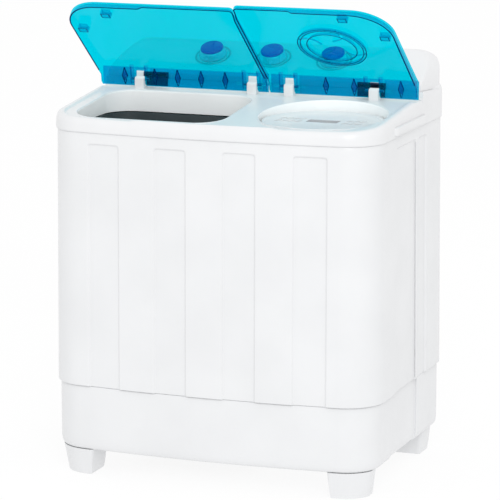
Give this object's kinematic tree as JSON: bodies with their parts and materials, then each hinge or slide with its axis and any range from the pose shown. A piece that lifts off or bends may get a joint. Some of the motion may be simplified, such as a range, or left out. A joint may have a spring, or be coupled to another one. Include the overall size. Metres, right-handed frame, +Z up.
{
  "type": "twin tub washer",
  "caption": "Compact twin tub washing machine with a wash tub and a spin tub side by side, tinted lids open, sloping control panel with dials, fluted cabinet on short feet.",
  "frame": {"origin": "on the floor under the middle of the machine's bounding box", "axes": "+Z up, +Y from the front towards the rear where the control panel is, +X to the right seen from the front"},
  "size_m": [0.598, 0.4119, 0.8175],
  "materials": {
    "white_plastic": "glossy moulded plastic",
    "tinted_lid": "clear tinted plastic, polished",
    "dark_tub": "satin moulded plastic",
    "navy_plastic": "dark glossy plastic",
    "blue_plastic": "glossy coloured plastic",
    "pearl_plastic": "pearl silver plastic",
    "grey_plastic": "matte moulded plastic",
    "black_rubber": "matte rubber",
    "steel": "zinc plated or brushed steel",
    "cast_alloy": "cast metal, satin"
  },
  "bodies": {
    "cabinet": {"base_skirt": "white_plastic", "bottom_guard": "white_plastic", "foot_front_left": "white_plastic", "foot_rear_left": "white_plastic", "foot_front_right": "white_plastic", "foot_rear_right": "white_plastic", "cabinet_shell": "white_plastic", "back_panel": "white_plastic", "top_cover": "white_plastic", "control_housing": "white_plastic", "lint_filter": "white_plastic", "spin_outer_tub": "white_plastic", "back_panel_screw_1": "steel", "back_panel_screw_2": "steel", "back_panel_screw_3": "steel", "back_panel_screw_4": "steel", "hinge_pin_1": "steel", "hinge_pin_2": "steel", "hinge_pin_3": "steel", "hinge_pin_4": "steel", "motor_bracket": "steel", "spin_motor_plate": "steel", "wash_inlet": "navy_plastic", "spin_inlet": "navy_plastic", "wash_tub": "dark_tub", "pulsator_bearing": "cast_alloy", "wash_motor": "cast_alloy", "spin_motor": "cast_alloy", "drive_belt": "black_rubber", "shaft_seal": "black_rubber", "motor_spring_mount_1": "black_rubber", "motor_spring_mount_2": "black_rubber", "motor_spring_mount_3": "black_rubber", "cord_gland": "black_rubber", "wash_timer_body": "grey_plastic", "selector_body": "grey_plastic", "spin_timer_body": "grey_plastic", "drain_valve_box": "grey_plastic", "drain_hose": "grey_plastic", "drain_spigot": "grey_plastic", "capacitor": "grey_plastic"},
    "wash_lid": {"wash_lid": "tinted_lid"},
    "spin_lid": {"spin_lid": "tinted_lid"},
    "pulsator_train": {"pulsator": "white_plastic", "pulsator_shaft": "steel", "driven_pulley": "grey_plastic"},
    "motor_rotor": {"motor_pulley": "grey_plastic"},
    "spin_rotor": {"spin_basket": "steel", "spin_shaft": "steel", "balance_ring": "white_plastic", "spin_cover": "white_plastic", "brake_drum": "cast_alloy"},
    "brake_lever": {"brake_lever": "steel"},
    "drain_plunger": {"drain_valve_plunger": "black_rubber"},
    "wash_timer_knob": {"wash_timer_knob": "pearl_plastic", "wash_timer_knob_cap": "blue_plastic"},
    "selector_knob": {"selector_knob": "pearl_plastic", "selector_knob_cap": "blue_plastic"},
    "spin_timer_knob": {"spin_timer_knob": "pearl_plastic", "spin_timer_knob_cap": "blue_plastic"}
  },
  "joints": [
    {"name": "wash_lid_hinge", "type": "hinge", "parent": "cabinet", "child": "wash_lid", "pos_m": [-0.113, 0.056, 0.659], "axis": [-1, 0, 0], "range_deg": [-45, 58]},
    {"name": "spin_lid_hinge", "type": "hinge", "parent": "cabinet", "child": "spin_lid", "pos_m": [0.137, 0.056, 0.659], "axis": [-1, 0, 0], "range_deg": [-45, 58]},
    {"name": "pulsator_spin", "type": "hinge", "parent": "cabinet", "child": "pulsator_train", "pos_m": [-0.125, -0.062, 0.26], "axis": [0, 0, 1], "continuous": true},
    {"name": "motor_pulley_spin", "type": "hinge", "parent": "cabinet", "child": "motor_rotor", "pos_m": [-0.025, 0.038, 0.22], "axis": [0, 0, 1], "continuous": true},
    {"name": "basket_spin", "type": "hinge", "parent": "cabinet", "child": "spin_rotor", "pos_m": [0.163, -0.065, 0.3], "axis": [0, 0, 1], "continuous": true},
    {"name": "brake_lever_pivot", "type": "hinge", "parent": "cabinet", "child": "brake_lever", "pos_m": [0.221, -0.127, 0.246], "axis": [0, 0, 1], "range_deg": [-3, 3.5]},
    {"name": "drain_valve_lift", "type": "slide", "parent": "cabinet", "child": "drain_plunger", "axis": [0, 0, 1], "range_m": [0, 0.0105]},
    {"name": "wash_timer_turn", "type": "hinge", "parent": "cabinet", "child": "wash_timer_knob", "pos_m": [-0.112, 0.136, 0.696], "axis": [0, 0.4226, -0.9063], "range_deg": [0, 300]},
    {"name": "selector_turn", "type": "hinge", "parent": "cabinet", "child": "selector_knob", "pos_m": [0.001, 0.136, 0.696], "axis": [0, 0.4226, -0.9063], "range_deg": [0, 90]},
    {"name": "spin_timer_turn", "type": "hinge", "parent": "cabinet", "child": "spin_timer_knob", "pos_m": [0.114, 0.136, 0.696], "axis": [0, 0.4226, -0.9063], "range_deg": [0, 300]}
  ],
  "couplings": [
    {"joint": "motor_pulley_spin", "follows": "pulsator_spin", "ratio": 4},
    {"joint": "brake_lever_pivot", "follows": "spin_lid_hinge", "ratio": 0.055},
    {"joint": "drain_valve_lift", "follows": "selector_turn", "m_per_rad": 0.006366}
  ]
}
